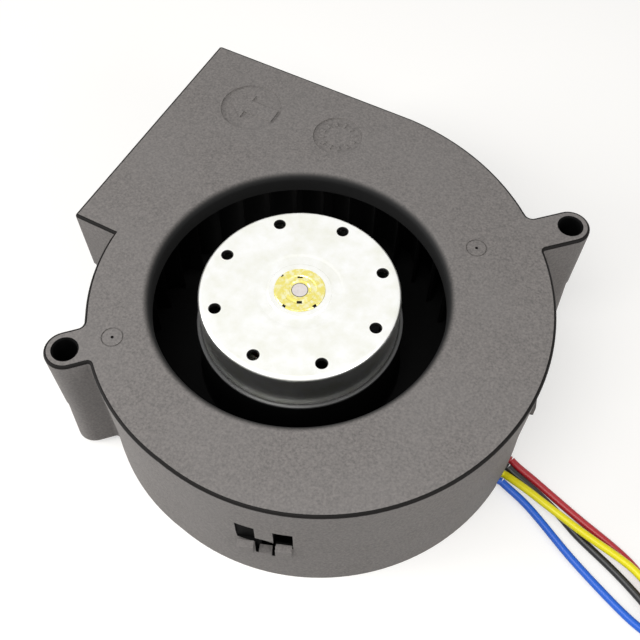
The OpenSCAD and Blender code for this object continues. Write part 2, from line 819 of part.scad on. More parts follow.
// The position sensor stands on its legs, just under the rotor magnet
sensor_l = 4;
sensor_t = 1.6;
sensor_a = -45;
sensor_leg_h = 0.3;
sensor_leg_pitch = 1.2;
sensor_gap = 0.5;

module hall_sensor() {
    color([0.1, 0.1, 0.11]) rotate(sensor_a) translate([magnet_r - magnet_t, 0, board_top]) {
        translate([-sensor_t / 2, -sensor_l / 2, sensor_leg_h])
            cube([sensor_t, sensor_l, magnet_z - sensor_gap - board_top - sensor_leg_h]);
        for (i = [-1:1]) translate([-pin_w / 2, i * sensor_leg_pitch - pin_w / 2, 0])
            cube([pin_w, pin_w, sensor_leg_h + pin_sink]);
    }
}

// The filter capacitor hangs in its square foot, just clear of the floor
can_d = 4;
can_foot_w = 4.2;
can_foot_t = 0.6;
can_floor_gap = 0.4;
can_x = 3;
can_y = 12.5;

module filter_capacitor() {
    color([0.7, 0.71, 0.73]) translate([can_x, can_y, 0]) {
        translate([0, 0, floor_t + can_floor_gap])
            cylinder(d = can_d, h = board_gap - can_floor_gap - can_foot_t / 2);
        translate([-can_foot_w / 2, -can_foot_w / 2, board_z - can_foot_t])
            cube([can_foot_w, can_foot_w, can_foot_t]);
    }
}

// ---- Leads ----
module channel_leads() {
    for (i = [0:3]) color(lead_colours[i]) translate([0, lead_y0 - i * lead_pitch, lead_z]) {
        translate([lead_turn_x, 0, 0]) rotate([0, 90, 0]) cylinder(d = lead_d, h = exit_x - lead_turn_x);
        translate([lead_turn_x, 0, 0]) sphere(d = lead_d);
        translate([lead_turn_x, 0, 0]) cylinder(d = lead_d, h = board_z - lead_z);
    }
}

module lead_red() { color(lead_colours[0]) swept_bar(red_route, lead_r, 8); }
module lead_black() { color(lead_colours[1]) swept_bar(black_route, lead_r, 8); }
module lead_yellow() { color(lead_colours[2]) swept_bar(yellow_route, lead_r, 8); }
module lead_blue() { color(lead_colours[3]) swept_bar(blue_route, lead_r, 8); }

function coil_profile(g) = [[coil_in_r - g, coil_z - g], [coil_out_r + g, coil_z - g],
    [coil_out_r + g, coil_z + coil_layer_h], [coil_top_out_r + g, coil_z + 2 * coil_layer_h + g],
    [coil_top_in_r - g, coil_z + 2 * coil_layer_h + g], [coil_in_r - g, coil_z + coil_layer_h]];

module lead_coil() {
    color([0.5, 0.3, 0.3]) translate([coil_x, coil_y, 0]) rotate_extrude() polygon(coil_profile(0));
}

module coil_tie() {
    color([0.08, 0.08, 0.08]) translate([coil_x, coil_y + tie_w / 2, 0]) rotate([90, 0, 0])
        linear_extrude(tie_w) difference() {
            polygon(coil_profile(tie_slack + tie_t));
            polygon(coil_profile(tie_slack));
        }
}

function tail_pt(q, i) = let (y = (i - 1.5) * contact_pitch, c = bundle_half * bundle_corners[i])
    [q.x, connector_y + y * q[2] + c.x * (1 - q[2]), q.y + c.y * (1 - q[2] * q[2])];

module lead_tails() {
    for (i = [0:3]) color(lead_colours[tail_order[i]])
        swept_bar(concat([for (q = tail_route) tail_pt(q, i)], [tail_pt([connector_x, contact_z, 1], i)]),
            lead_r, 8);
}

// Connector: a housing with four cells, each with a terminal box, and two latch ribs on top
cell_w = 1.6;
cell_end = 3;
connector_skin = 0.6;
rib_w = 1.2;
rib_h = 0.6;
terminal_end = 5;
terminal_wall = 0.4;

module connector_housing() {
    color([0.93, 0.92, 0.88]) translate([connector_x - connector_l, connector_y, 0]) difference() {
        union() {
            translate([0, -connector_w / 2, 0]) cube([connector_l, connector_w, connector_h]);
            for (s = [-1, 1])
                translate([0, s * connector_w / 4 - rib_w / 2, connector_h - connector_skin])
                    cube([connector_l * 0.6, rib_w, rib_h + connector_skin]);
        }
        for (i = [0:3]) translate([0, (i - 1.5) * contact_pitch, contact_z]) {
            translate([-over, -cell_w / 2, -cell_w / 2])
                cube([connector_l - cell_end + over, cell_w, cell_w]);
            translate([connector_l - cell_end - over, 0, 0]) rotate([0, 90, 0])
                cylinder(r = lead_r + slip, h = cell_end + 2 * over);
        }
    }
}

module terminal_box(w, l) {
    translate([0, -w / 2, -w / 2]) cube([l, w, w]);
}

module connector_terminals() {
    color([0.8, 0.8, 0.78]) for (i = [0:3])
        translate([connector_x - connector_l + connector_skin,
            connector_y + (i - 1.5) * contact_pitch, contact_z]) difference() {
                terminal_box(cell_w - 2 * slip, connector_l - terminal_end);
                translate([-over, 0, 0]) terminal_box(cell_w - 2 * terminal_wall, connector_l - terminal_end);
            }
}

upper_housing();
lower_housing();
impeller();
rotor_cup();
rotor_magnet();
rotor_boss();
shaft();
retaining_clip();
preload_spring();
bearing_tube();
outer_race(upper_bearing_z);  // upper_bearing_outer
inner_race(upper_bearing_z);  // upper_bearing_inner
balls(upper_bearing_z);  // upper_bearing_balls
outer_race(lower_bearing_z);  // lower_bearing_outer
inner_race(lower_bearing_z);  // lower_bearing_inner
balls(lower_bearing_z);  // lower_bearing_balls
stator_core();
upper_insulator();
lower_insulator();
stator_coil(0);  // stator_coil_1
stator_coil(1);  // stator_coil_2
stator_coil(2);  // stator_coil_3
stator_coil(3);  // stator_coil_4
circuit_board();
driver_chip();
power_transistors();
hall_sensor();
filter_capacitor();
rear_label();
channel_leads();
lead_red();
lead_black();
lead_yellow();
lead_blue();
lead_coil();
coil_tie();
lead_tails();
connector_housing();
connector_terminals();
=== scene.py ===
from math import asin, atan2, cos, degrees, pi, radians, sin, sqrt

import bmesh
import bpy
from mathutils import Matrix, Vector


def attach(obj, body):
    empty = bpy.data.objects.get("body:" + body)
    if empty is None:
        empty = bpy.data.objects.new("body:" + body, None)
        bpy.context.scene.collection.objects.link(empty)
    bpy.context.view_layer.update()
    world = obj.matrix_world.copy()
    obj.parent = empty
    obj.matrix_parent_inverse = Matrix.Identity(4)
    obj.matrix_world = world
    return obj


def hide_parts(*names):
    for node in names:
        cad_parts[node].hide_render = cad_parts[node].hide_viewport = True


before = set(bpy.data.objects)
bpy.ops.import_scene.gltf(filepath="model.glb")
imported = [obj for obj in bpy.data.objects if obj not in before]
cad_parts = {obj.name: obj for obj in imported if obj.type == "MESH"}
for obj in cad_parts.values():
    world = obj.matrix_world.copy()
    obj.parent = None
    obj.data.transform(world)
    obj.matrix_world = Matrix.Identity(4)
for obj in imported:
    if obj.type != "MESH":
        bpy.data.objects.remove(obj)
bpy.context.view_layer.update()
scene = bpy.context.scene
MM = 0.001

# ---- Camera: a long lens looks down on the blower from the corner of the leads ----
# It stands 180 mm from the rotor's face and is turned a degree about its own axis.
camera_turn, camera_rise, camera_roll = radians(27.2), radians(57.445), radians(0.937)
back = Vector((cos(camera_rise) * sin(camera_turn), -cos(camera_rise) * cos(camera_turn), sin(camera_rise)))
level = Vector((cos(camera_turn), sin(camera_turn), 0))
right = cos(camera_roll) * level + sin(camera_roll) * back.cross(level)
up = back.cross(right)
lens = bpy.data.cameras.new("camera")
lens.lens, lens.sensor_width = 52.74, 36
lens.clip_start, lens.clip_end = 0.005, 10
camera = bpy.data.objects.new("camera", lens)
camera.matrix_world = Matrix.Translation(
    (Vector((0, 0, 32.6)) + 3.88 * right - 5.64 * up + 179.65 * back) * MM
) @ Matrix((right, up, back)).transposed().to_4x4()
scene.collection.objects.link(camera)
scene.camera = camera


# ---- Studio: a white sweep lit by a broad lamp overhead ----
# The floor is white paper. It shows the soft shadow, and glows to full white round it.
def linear(colour):
    """The linear RGBA of an sRGB hex colour."""
    parts = [int(colour[i : i + 2], 16) / 255 for i in (0, 2, 4)]
    return [c / 12.92 if c <= 0.04045 else ((c + 0.055) / 1.055) ** 2.4 for c in parts] + [1]


def add(tree, kind, settings, inputs):
    """Adds a node with its settings, and its inputs set to values or linked to sockets."""
    made = tree.nodes.new(kind)
    for name, value in settings.items():
        setattr(made, name, value)
    for name, value in inputs.items():
        if isinstance(value, bpy.types.NodeSocket):
            tree.links.new(value, made.inputs[name])
        else:
            made.inputs[name].default_value = value
    return made


def blank(owner):
    """Empties a material's or world's node tree, and returns the tree."""
    owner.use_nodes = True
    owner.node_tree.nodes.clear()
    return owner.node_tree


def show_background(tree, output, plain, glowing):
    """The glowing shader where the camera, a mirror or glass sees it, and the plain one elsewhere."""
    path = add(tree, "ShaderNodeLightPath", {}, {})
    seen = path.outputs["Is Camera Ray"]
    for ray in ("Is Glossy Ray", "Is Transmission Ray"):
        seen = add(tree, "ShaderNodeMath", {"operation": "MAXIMUM"}, {0: seen, 1: path.outputs[ray]}).outputs[0]
    mixed = add(tree, "ShaderNodeMixShader", {}, {0: seen, 1: plain, 2: glowing})
    add(tree, output, {}, {"Surface": mixed.outputs[0]})


paper = bpy.data.materials.new("white_paper")
tree = blank(paper)
matte = add(tree, "ShaderNodeBsdfDiffuse", {}, {"Color": linear("B8B8B8")})
lit = add(tree, "ShaderNodeBsdfDiffuse", {}, {"Color": linear("C6C4C0")})
glow = add(tree, "ShaderNodeEmission", {}, {"Color": linear("FFFFFF"), "Strength": 0.5})
both = add(tree, "ShaderNodeAddShader", {}, {0: lit.outputs[0], 1: glow.outputs[0]})
show_background(tree, "ShaderNodeOutputMaterial", matte.outputs[0], both.outputs[0])
form = bmesh.new()
bmesh.ops.create_grid(form, x_segments=1, y_segments=1, size=3)
sheet = bpy.data.meshes.new("floor")
form.to_mesh(sheet)
form.free()
sheet.materials.append(paper)
floor = bpy.data.objects.new("floor", sheet)
scene.collection.objects.link(floor)

sky = bpy.data.worlds.new("studio")
scene.world = sky
tree = blank(sky)
dim = add(tree, "ShaderNodeBackground", {}, {"Color": linear("FFFFFF"), "Strength": 0.3})
bright = add(tree, "ShaderNodeBackground", {}, {"Color": linear("FFFFFF"), "Strength": 1.0})
show_background(tree, "ShaderNodeOutputWorld", dim.outputs[0], bright.outputs[0])

for name, place, size, power in (
    ("lamp_overhead", (-0.02, -0.17, 0.34), 0.25, 0.75),
    ("lamp_left", (-0.5, -0.3, 0.25), 0.3, 2.4),
    ("lamp_right", (0.48, -0.12, 0.28), 0.3, 1.0),
):
    area = bpy.data.lights.new(name, "AREA")
    area.shape, area.size, area.energy = "DISK", size, power
    lamp = bpy.data.objects.new(name, area)
    lamp.location = place
    lamp.rotation_euler = (-Vector(place)).to_track_quat("-Z", "Y").to_euler()
    scene.collection.objects.link(lamp)

scene.view_settings.view_transform = "Standard"


# ---- Leads: four hook-up wires in PVC, red, black, yellow and blue ----
# They leave the foot of the wall side by side, cross on the table, and their spare length
# is wound into one small coil of two and a half turns that ends in a plug.
def new_material(name, **values):
    """A material with one Principled shader, and that shader's uniform numbers and colours."""
    made = bpy.data.materials.new(name)
    made.use_nodes = True
    shader = made.node_tree.nodes["Principled BSDF"]
    for socket, value in values.items():
        shader.inputs[socket.replace("_", " ")].default_value = value
    return made, made.node_tree, shader


lead_d = 1.6
wires = (
    ("red", "B3202A", (0.9, -0.9), [
        (48.7, 2, 1.3), (50, 1.4, 1.1), (54, 0.4, 0.9), (58, -0.9, 0.8), (62, -2.2, 0.8), (66, -3.5, 0.8),
        (70, -4.6, 0.8), (74, -5.8, 0.8), (78, -7.3, 0.8), (82, -9.9, 0.8), (87, -14, 1.1),
        (92.4, -17.8, 1.6), (98.3, -21, 1.6), (104.2, -22.6, 1.6)]),
    ("black", "131313", (-0.9, 0.9), [
        (48.7, 0.2, 1.3), (50, -0.3, 1.1), (54, -1.4, 0.9), (58, -2.8, 0.8), (62, -4.5, 0.8), (66, -6.7, 0.8),
        (70, -8.2, 0.8), (74, -9.7, 0.8), (78, -11.4, 0.8), (82, -13.5, 1), (87, -16.7, 2),
        (91.6, -19.4, 3.3), (97.7, -22.6, 3.4), (103.8, -24.4, 3.4)]),
    ("yellow", "F2E600", (0.9, 0.9), [
        (48.7, -1.6, 1.3), (50, -2, 1.7), (54, -3, 2.2), (58, -4.2, 2.5), (62, -5.2, 2.5), (66, -6.2, 2.5),
        (70, -7, 2.5), (74, -7.7, 2.5), (78, -8.6, 2.5), (82, -10.7, 2.6), (87, -14.2, 3),
        (92.4, -17.8, 3.4), (98.3, -21, 3.4), (104.2, -22.6, 3.4)]),
    ("blue", "0F5FD0", (-0.9, -0.9), [
        (48.7, -3.4, 1.3), (50, -3.8, 1.1), (54, -5, 0.9), (58, -6.9, 0.8), (62, -9.1, 0.8), (66, -11.3, 0.8),
        (70, -13.2, 0.8), (74, -15, 0.8), (78, -16.7, 0.8), (82, -18.2, 0.8), (87, -19.3, 0.9),
        (91.6, -20, 1.4), (97.7, -22.6, 1.6), (103.8, -24.4, 1.6)]),
)
coil_centre = Vector((110, -40, 0))
# Degrees wound, radius and height of the middle of the bundle
winding = (
    (0, 16, 2.5), (300, 16, 2.5), (352, 12, 2.5), (580, 12, 2.5), (690, 12.2, 6.42), (730, 14, 6.42), (900, 14, 6.45),
)
tail = ((100, 6.5, 0), (97, 6.4, 0.05), (94, 5.4, 0.3), (91, 3.9, 0.7), (88.5, 3.1, 1), (86, 2.9, 1))
plug_y, contact_pitch, bundle_gap = -54, 2.54, 0.9
contacts = {"red": (0, -1, 1), "blue": (1, -1, -1), "black": (2, 1, -1), "yellow": (3, 1, 1)}


def eased(table, at):
    """The smoothly blended radius and height of the winding, this many degrees along it."""
    for (a, *low), (b, *high) in zip(table, table[1:]):
        if at <= b:
            share = (at - a) / (b - a)
            share = share * share * (3 - 2 * share)
            return [p + (q - p) * share for p, q in zip(low, high)]
    return list(table[-1][1:])


lead_materials, lead_pieces = {}, []
for name, colour, (out, over), route in wires:
    points = [Vector(p) for p in route]
    for wound in range(0, 901, 10):
        radius, height = eased(winding, wound)
        twist = -radians(90) * eased(((0, 0), (725, 0), (895, 1)), wound)[0]
        side = out * cos(twist) + over * sin(twist)
        lift = over * cos(twist) - out * sin(twist)
        turn = radians(90 - wound)
        points.append(coil_centre + (radius + side) * Vector((cos(turn), sin(turn), 0)) + Vector((0, 0, height + lift)))
    place, across, above = contacts[name]
    for x, z, fan in tail:
        y = plug_y + (place - 1.5) * contact_pitch * fan + bundle_gap * across * (1 - fan)
        points.append(Vector((x, y, z + bundle_gap * above * (1 - fan * fan))))
    data = bpy.data.curves.new(f"lead_{name}", "CURVE")
    data.dimensions = "3D"
    data.bevel_depth, data.bevel_resolution = lead_d / 2 * MM, 4
    data.use_fill_caps = True
    run = data.splines.new("NURBS")
    run.points.add(len(points) - 1)
    for point, place in zip(run.points, points):
        point.co = (*(place * MM), 1)
    run.order_u, run.use_endpoint_u, run.resolution_u = 3, True, 3
    lead = bpy.data.objects.new(f"lead_{name}_wire", data)
    scene.collection.objects.link(lead)
    insulation, tree, shader = new_material(
        f"pvc_insulation_{name}", Base_Color=linear(colour), Roughness=0.38, IOR=1.53
    )
    data.materials.append(insulation)
    lead_materials[name] = insulation
    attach(lead, "housing")
    length = sum((b - a).length for a, b in zip(points, points[1:])) * MM
    lead_pieces.append((lead, points[0] * MM, length))
# Inside the housing the same wires lie in a channel, then turn up to the circuit board
for name, _, _, route in wires:
    y = route[0][1]
    data = bpy.data.curves.new(f"channel_wire_{name}", "CURVE")
    data.dimensions = "3D"
    data.bevel_depth, data.bevel_resolution, data.use_fill_caps = lead_d / 2 * MM, 4, True
    run = data.splines.new("NURBS")
    bend = [(15.5, 5.9), (15.5, 4), (15.5, 2.2), (15.6, 1.4), (16.6, 1.3), (19, 1.3), (30, 1.3), (48.7, 1.3)]
    run.points.add(len(bend) - 1)
    for point, (x, z) in zip(run.points, bend):
        point.co = (x * MM, y * MM, z * MM, 1)
    run.order_u, run.use_endpoint_u, run.resolution_u = 3, True, 4
    inner = bpy.data.objects.new(f"channel_wire_{name}", data)
    scene.collection.objects.link(inner)
    data.materials.append(lead_materials[name])
    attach(inner, "housing")
    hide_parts("channel_leads")

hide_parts("lead_red", "lead_coil", "lead_tails")
for lead, (name, *_) in zip([p[0] for p in lead_pieces[1:]], wires[1:]):
    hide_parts(f"lead_{name}", "lead_coil", "lead_tails")

# ---- Upper half of the housing: glass-filled PBT, moulded black with a fine spark-eroded grain ----
# It is a scroll that opens into a square duct. Its rounded rim edges are painted darker than the grained faces, a
# painted dark reflection, and both halves taper a little towards the parting line.
split_z, cover_z = 16.5, 33
wall, cover = 1.6, 2
outlet_x, duct_y, scroll_y = -48.7, -5.6, 51
# The wall's radius at the tongue, what it gains up to the top, and its swell opposite the outlet
tongue_r, scroll_gain = 39.5, 11.5
belly, belly_from, belly_span = 1.8, -95, 140
# Direction, distance, and the fillets on the two flanks of a screw ear
ears = ((-134.5, 45, 1.4, 0.6), (44.2, 56.4, 0.6, 1.4))
ear_r, ear_hole_r = 4, 2.3


def wall_radius(turn):
    """The radius of the scroll's outer wall in this direction, in degrees."""
    tongue = -180 + degrees(asin(-duct_y / tongue_r))
    swell = belly * sin(pi * min(max((turn - belly_from) / belly_span, 0), 1))
    return tongue_r + scroll_gain * (turn - tongue) / (90 - tongue) + swell


def polar(radius, turn):
    return Vector((radius * cos(radians(turn)), radius * sin(radians(turn)), 0))


def arc(centre, radius, start, end, steps):
    return [centre + polar(radius, start + (end - start) * i / steps) for i in range(steps + 1)]


def ear_outline(turn, reach, fillets, inset):
    """One ear from where its first fillet leaves the wall to where its second comes back."""
    half, sides = ear_r - inset, []
    for sign, fillet in zip((-1, 1), fillets):
        fillet += inset
        radius = wall_radius(turn + sign * 6) - inset + fillet
        along = sqrt(radius * radius - (half + fillet) ** 2)
        lean = degrees(atan2(half + fillet, along))
        flank = arc(Vector((along, -half - fillet, 0)), fillet, 180 - lean, 90, 6)
        sides.append(flank if sign < 0 else [Vector((p.x, -p.y, 0)) for p in reversed(flank)])
    local = sides[0] + arc(Vector((reach, 0, 0)), half, -90, 90, 20) + sides[1]
    return [Matrix.Rotation(radians(turn), 3, "Z") @ p for p in local]


def housing_outline(inset):
    """The closed outline of the housing from above, and the first and last point of each ear."""
    first = -180 + degrees(asin((-duct_y - inset) / (tongue_r - inset)))
    points, spans = [], []
    turns = [first + (90 - first) * i / 120 for i in range(121)]
    for turn, reach, *fillets in ears:
        lug = ear_outline(turn, reach, fillets, inset)
        low, high = (degrees(atan2(p.y, p.x)) for p in (lug[0], lug[-1]))
        points += [polar(wall_radius(t) - inset, t) for t in turns if t < low - 0.6]
        spans.append((len(points), len(points) + len(lug) - 1))
        points += lug
        turns = [t for t in turns if t > high + 0.6]
    points += [polar(wall_radius(t) - inset, t) for t in turns]
    left, top, low = outlet_x + inset, scroll_y - inset, duct_y + inset
    points += arc(Vector((left + 0.6, top - 0.6, 0)), 0.6, 90, 180, 3)
    points += arc(Vector((left + 0.6, low + 0.6, 0)), 0.6, 180, 270, 3)
    return points, spans


def cavity_outline(inset):
    """The outline of the hollow, round the rounded tongue and out through the mouth of the duct."""
    nose_r = 2.5
    nose_y = duct_y + nose_r
    nose = Vector((-sqrt((tongue_r - wall + nose_r) ** 2 - nose_y**2), nose_y, 0))
    side_y = duct_y + inset
    meets = degrees(atan2(side_y - nose.y, -sqrt(nose_r**2 - (side_y - nose.y) ** 2)))
    first = degrees(atan2(nose.y, nose.x))
    points = [Vector((outlet_x - 2, side_y, 0))]
    points += arc(nose, nose_r, meets + 360, degrees(atan2(-nose.y, -nose.x)), 16)
    points += [polar(wall_radius(t) - inset, t) for t in (first + 2 + (88 - first) * i / 110 for i in range(111))]
    return points + [Vector((outlet_x - 2, scroll_y - inset, 0))]


def loop(form, points, height):
    """A closed ring of edges through the points at this height, from millimetres."""
    corners = [form.verts.new((p.x * MM, p.y * MM, height * MM)) for p in points]
    return corners, [form.edges.new(pair) for pair in zip(corners, corners[1:] + corners[:1])]


def stack(*levels):
    """A closed solid through outlines of as many points each, at rising heights."""
    form = bmesh.new()
    rings = [loop(form, points, height)[1] for points, height in levels]
    for low, high in zip(rings, rings[1:]):
        bmesh.ops.bridge_loops(form, edges=low + high)
    for end in (rings[0], rings[-1]):
        bmesh.ops.contextual_create(form, geom=end)
    bmesh.ops.recalc_face_normals(form, faces=form.faces)
    return form


def turned(profile, steps=128, centre=Vector()):
    """A profile of radii and heights in millimetres, spun once round the rotor's axis or a centre."""
    form = bmesh.new()
    corners = [form.verts.new((r * MM, 0, z * MM)) for r, z in profile]
    sides = [form.edges.new(pair) for pair in zip(corners, corners[1:])]
    if profile[0][0] and profile[-1][0]:
        sides.append(form.edges.new((corners[-1], corners[0])))
    bmesh.ops.spin(form, geom=corners + sides, cent=(0, 0, 0), axis=(0, 0, 1), angle=2 * pi, steps=steps,
                   use_merge=True)
    bmesh.ops.remove_doubles(form, verts=form.verts, dist=1e-7)
    bmesh.ops.recalc_face_normals(form, faces=form.faces)
    bmesh.ops.translate(form, verts=form.verts, vec=centre * MM)
    return form


def block(low, high, place=Matrix()):
    """A box between two corners in millimetres, set by a placing matrix."""
    form = bmesh.new()
    low, high = Vector(low), Vector(high)
    size = Matrix.Diagonal((*((high - low) * MM), 1))
    bmesh.ops.create_cube(form, size=1, matrix=place @ Matrix.Translation((low + high) / 2 * MM) @ size)
    return form


def as_object(name, form, *finishes):
    """The form as an object at the origin, with its materials."""
    mesh = bpy.data.meshes.new(name)
    form.to_mesh(mesh)
    form.free()
    for finish in finishes:
        mesh.materials.append(finish)
    made = bpy.data.objects.new(name, mesh)
    scene.collection.objects.link(made)
    return made


def carve(piece, form, operation="DIFFERENCE", finish=0):
    """Cuts a form out of the piece, or joins it on. The new faces take this material slot."""
    for face in form.faces:
        face.material_index = finish
    tool = as_object("tool", form, *piece.data.materials)
    cut = piece.modifiers.new("cut", "BOOLEAN")
    cut.object, cut.operation, cut.solver = tool, operation, "EXACT"
    bpy.context.view_layer.update()
    result = bpy.data.meshes.new_from_object(piece.evaluated_get(bpy.context.evaluated_depsgraph_get()))
    piece.modifiers.clear()
    old, piece.data = piece.data, result
    result.name = piece.name
    if not result.polygons:
        raise RuntimeError("a cut left nothing of " + piece.name)
    for spent in (old, tool.data):
        bpy.data.meshes.remove(spent)


def taken_back(piece):
    """The form of a working piece that is needed no more."""
    form = bmesh.new()
    form.from_mesh(piece.data)
    bpy.data.meshes.remove(piece.data)
    return form


def smooth(piece, angle=32):
    """Smooth shading, with the edges sharper than the angle kept, and flat faces kept flat."""
    for face in piece.data.polygons:
        face.use_smooth = True
    piece.data.set_sharp_from_angle(angle=radians(angle))
    flat = piece.modifiers.new("weighted_normals", "WEIGHTED_NORMAL")
    flat.keep_sharp = True


def round_edges(form, chosen, radius, finish, segments=4):
    """Rounds these edges, and gives the new faces this material slot."""
    made = bmesh.ops.bevel(form, geom=chosen, offset=radius * MM, offset_type="OFFSET", affect="EDGES",
                           segments=segments, profile=0.5, material=-1, clamp_overlap=True)
    for face in made["faces"]:
        face.material_index = finish


def edges_at(form, height):
    """The edges that lie at this height, in millimetres."""
    return [e for e in form.edges if all(abs(v.co.z - height * MM) < 1e-7 for v in e.verts)]


# Grained PBT: a matte charcoal grey with fine light and dark specks, rubbed a little paler in places.
# The specks of a spark-eroded mould are some 0.15 mm wide; they are drawn at 0.45 mm to show.
grained, tree, shader = new_material("pbt_grained_black", Roughness=0.72, IOR=1.57)
shader.inputs["Specular IOR Level"].default_value = 0.25
place = add(tree, "ShaderNodeTexCoord", {}, {}).outputs["Object"]
specks = add(tree, "ShaderNodeTexNoise", {}, {"Vector": place, "Scale": 1 / 0.00045, "Detail": 2.0, "Roughness": 0.6})
clouds = add(tree, "ShaderNodeTexNoise", {}, {"Vector": place, "Scale": 1 / 0.018, "Detail": 3.0, "Roughness": 0.55})
speck_share = add(tree, "ShaderNodeMapRange", {}, {"Value": specks.outputs["Fac"], "From Min": 0.3, "From Max": 0.7})
grey = add(tree, "ShaderNodeMix", {"data_type": "RGBA"}, {
    "Factor": speck_share.outputs[0], 6: linear("625F5D"), 7: linear("807B78")})
cloud_share = add(tree, "ShaderNodeMapRange", {}, {
    "Value": clouds.outputs["Fac"], "From Min": 0.35, "From Max": 0.7, "To Max": 0.35})
worn = add(tree, "ShaderNodeMix", {"data_type": "RGBA"}, {
    "Factor": cloud_share.outputs[0], 6: grey.outputs[2], 7: linear("7C7977")})
# Within 28.8 to 30.1 mm of the axis the colour fades to near black: painted shade down the rounded lip and into the
# throat
apart = add(tree, "ShaderNodeSeparateXYZ", {}, {"Vector": place})
flat_place = add(tree, "ShaderNodeCombineXYZ", {}, {"X": apart.outputs["X"], "Y": apart.outputs["Y"]})
radius = add(tree, "ShaderNodeVectorMath", {"operation": "LENGTH"}, {0: flat_place.outputs[0]})
throat = add(tree, "ShaderNodeMapRange", {"interpolation_type": "SMOOTHSTEP"}, {
    "Value": radius.outputs["Value"], "From Min": 0.0288, "From Max": 0.0301})
skin_with_painted_throat_shade = add(tree, "ShaderNodeMix", {"data_type": "RGBA"}, {
    "Factor": throat.outputs[0], 6: linear("050505"), 7: worn.outputs[2]})
tree.links.new(skin_with_painted_throat_shade.outputs[2], shader.inputs["Base Color"])
dents = add(tree, "ShaderNodeBump", {}, {"Height": specks.outputs["Fac"], "Strength": 0.35, "Distance": 0.00006})
tree.links.new(dents.outputs[0], shader.inputs["Normal"])

# The rounded edges are painted nearly black and smooth: a painted dark reflection along the fillets, not a colour of
# the plastic
edge_painted_dark_reflection, tree, shader = new_material("pbt_edge_painted_dark_reflection", Base_Color=linear("110F0E"), Roughness=0.55, IOR=1.57)
shader.inputs["Specular IOR Level"].default_value = 0.1
# The hollow, the ear bores and the latch windows are painted near black, far darker than the same plastic outside:
# painted shade
inside_painted_shade, tree, shader = new_material("pbt_inside_painted_shade", Base_Color=linear("060606"), Roughness=0.7, IOR=1.57)
shader.inputs["Specular IOR Level"].default_value = 0.05
plastics = (grained, edge_painted_dark_reflection, inside_painted_shade)

form = stack((housing_outline(0.4)[0], split_z), (housing_outline(0)[0], cover_z))
# The rounded top edge takes the painted dark reflection colour
round_edges(form, edges_at(form, cover_z), 0.8, 1)
upper = as_object("housing_cover", form, *plastics)
cavity = cavity_outline(wall)
hollow = as_object("tool", stack((cavity, split_z - 2), (cavity, cover_z - cover)), *plastics)
# The inlet narrows through a rounded lip to its throat
lip_r, lip_round, throat_r, above = 30.2, 1.6, 28.6, 34
carve(hollow, turned([(0, 28.5), (lip_r, 28.5), (lip_r, above), (0, above)]))
carve(upper, taken_back(hollow), finish=2)
lip = [(lip_r - lip_round * cos(radians(t)), 31.4 + lip_round * sin(radians(t))) for t in range(0, 91, 10)]
carve(upper, turned([(0, 20), (throat_r, 20), *lip, (lip_r, above), (0, above)], 160))
ear_bore = [(0, 10), (ear_hole_r, 10), (ear_hole_r, 32.7), (2.6, 33), (2.6, above), (0, above)]
for turn, reach, *_ in ears:
    carve(upper, turned(ear_bore, 40, polar(reach, turn)), finish=2)

# Three latches: the cover's short tab hangs between two windows, over a slot in the lower half
latches = [
    Matrix.Rotation(radians(t), 4, "Z") @ Matrix.Translation((wall_radius(t) * MM, 0, split_z * MM))
    for t in (-69.8, 15)
]
latches.append(Matrix.Translation((-24 * MM, scroll_y * MM, split_z * MM)) @ Matrix.Rotation(pi / 2, 4, "Z"))
latch_half, tab_half = 5.3, 1.7
for place in latches:
    for side in (-1, 1):
        y = sorted((side * tab_half, side * latch_half))
        carve(upper, block((-1.7, y[0], -2), (3, y[1], 6.2), place), finish=2)
    carve(upper, block((-3, -tab_half, -2), (3, tab_half, 1.2), place), finish=2)

# Moulded marks: a sunk disc with the airflow arrow left standing, a blank sunk dial with twelve
# ticks, and two ejector marks
disc, dial, mark_floor, root_z = Vector((-32.5, 37.4, 0)), Vector((-12, 38.9, 0)), 32.65, 32.4
for centre, radius in ((disc, 6.8), (dial, 5.4)):
    carve(upper, turned([(0, mark_floor), (radius - 0.15, mark_floor), (radius, above), (0, above)], 72, centre))
ring_floor, pin_floor = 32.8, 32.7
for turn, *_ in ears:
    centre = polar(36.2, turn)
    carve(upper, turned([(1.85, ring_floor), (2.1, ring_floor), (2.1, above), (1.85, above)], 48, centre))
    # The floor of each pin mark takes the painted dark edge colour: painted shade in the small recess
    carve(upper, turned([(0, pin_floor), (0.3, pin_floor), (0.3, above), (0, above)], 20, centre), finish=1)
arrow = [(-5.4, 0), (-0.8, -3.6), (-0.8, -1.75), (5.8, -1.75), (5.8, 1.75), (-0.8, 1.75), (-0.8, 3.6)]
tick = [(2.9, -0.3), (4.1, -0.3), (4.1, 0.3), (2.9, 0.3)]
for height, centre, shape, turn in [(32.98, disc, arrow, 0)] + [(32.9, dial, tick, 30 * i) for i in range(12)]:
    points = [centre + Matrix.Rotation(radians(turn), 3, "Z") @ Vector((x, y, 0)) for x, y in shape]
    form = stack((points, root_z), (points, height))
    round_edges(form, edges_at(form, height), 0.08, 0, 2)
    carve(upper, form, "UNION")

smooth(upper)
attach(upper, "housing")
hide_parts("upper_housing")


